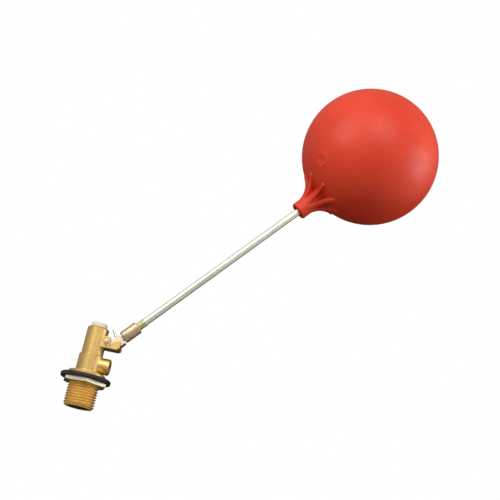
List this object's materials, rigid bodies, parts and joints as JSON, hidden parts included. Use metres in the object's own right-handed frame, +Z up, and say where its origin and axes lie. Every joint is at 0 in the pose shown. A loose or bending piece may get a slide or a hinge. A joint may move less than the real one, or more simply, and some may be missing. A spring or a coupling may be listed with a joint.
{
  "type": "float valve",
  "caption": "Brass tank float valve with threaded inlet, side outlet, plastic piston, pivoted lever, steel rod and hollow red plastic ball.",
  "frame": {"origin": "centre of the mounting flange's seating face, on the inlet axis", "axes": "+X along the inlet axis from the tank wall into the tank, +Z up, outlet and float lever on the -Z side; the float hangs at its lowest, valve fully open"},
  "size_m": [0.2722, 0.1, 0.2293],
  "materials": {
    "brass_cast": "satin, lightly blasted",
    "brass_turned": "turned",
    "nylon_white": "natural nylon",
    "rubber_black": "moulded",
    "steel_pin": "zinc plated",
    "steel_rod": "yellow zinc plated",
    "plastic_red": "semi-gloss moulded"
  },
  "bodies": {
    "valve": {"valve_body": "brass_cast", "seat_nozzle": "brass_turned", "mounting_gasket": "rubber_black", "lock_nut": "brass_turned", "pivot_split_pin": "steel_pin"},
    "piston": {"piston": "nylon_white", "seat_washer": "rubber_black", "piston_seal_ring": "rubber_black"},
    "float_arm": {"lever": "brass_cast", "rod_coupler": "brass_turned", "coupler_split_pin": "steel_pin", "float_rod": "steel_rod", "float_ball": "plastic_red", "float_insert": "brass_turned"}
  },
  "joints": [
    {"name": "lever_pivot", "type": "hinge", "parent": "valve", "child": "float_arm", "pos_m": [0.025, 0, -0.0088], "axis": [0, -1, 0], "range_deg": [0, 40]},
    {"name": "piston_slide", "type": "slide", "parent": "valve", "child": "piston", "axis": [-1, 0, 0], "range_m": [0, 0.0048]}
  ],
  "couplings": [
    {"joint": "piston_slide", "follows": "lever_pivot", "m_per_rad": 0.00686}
  ]
}
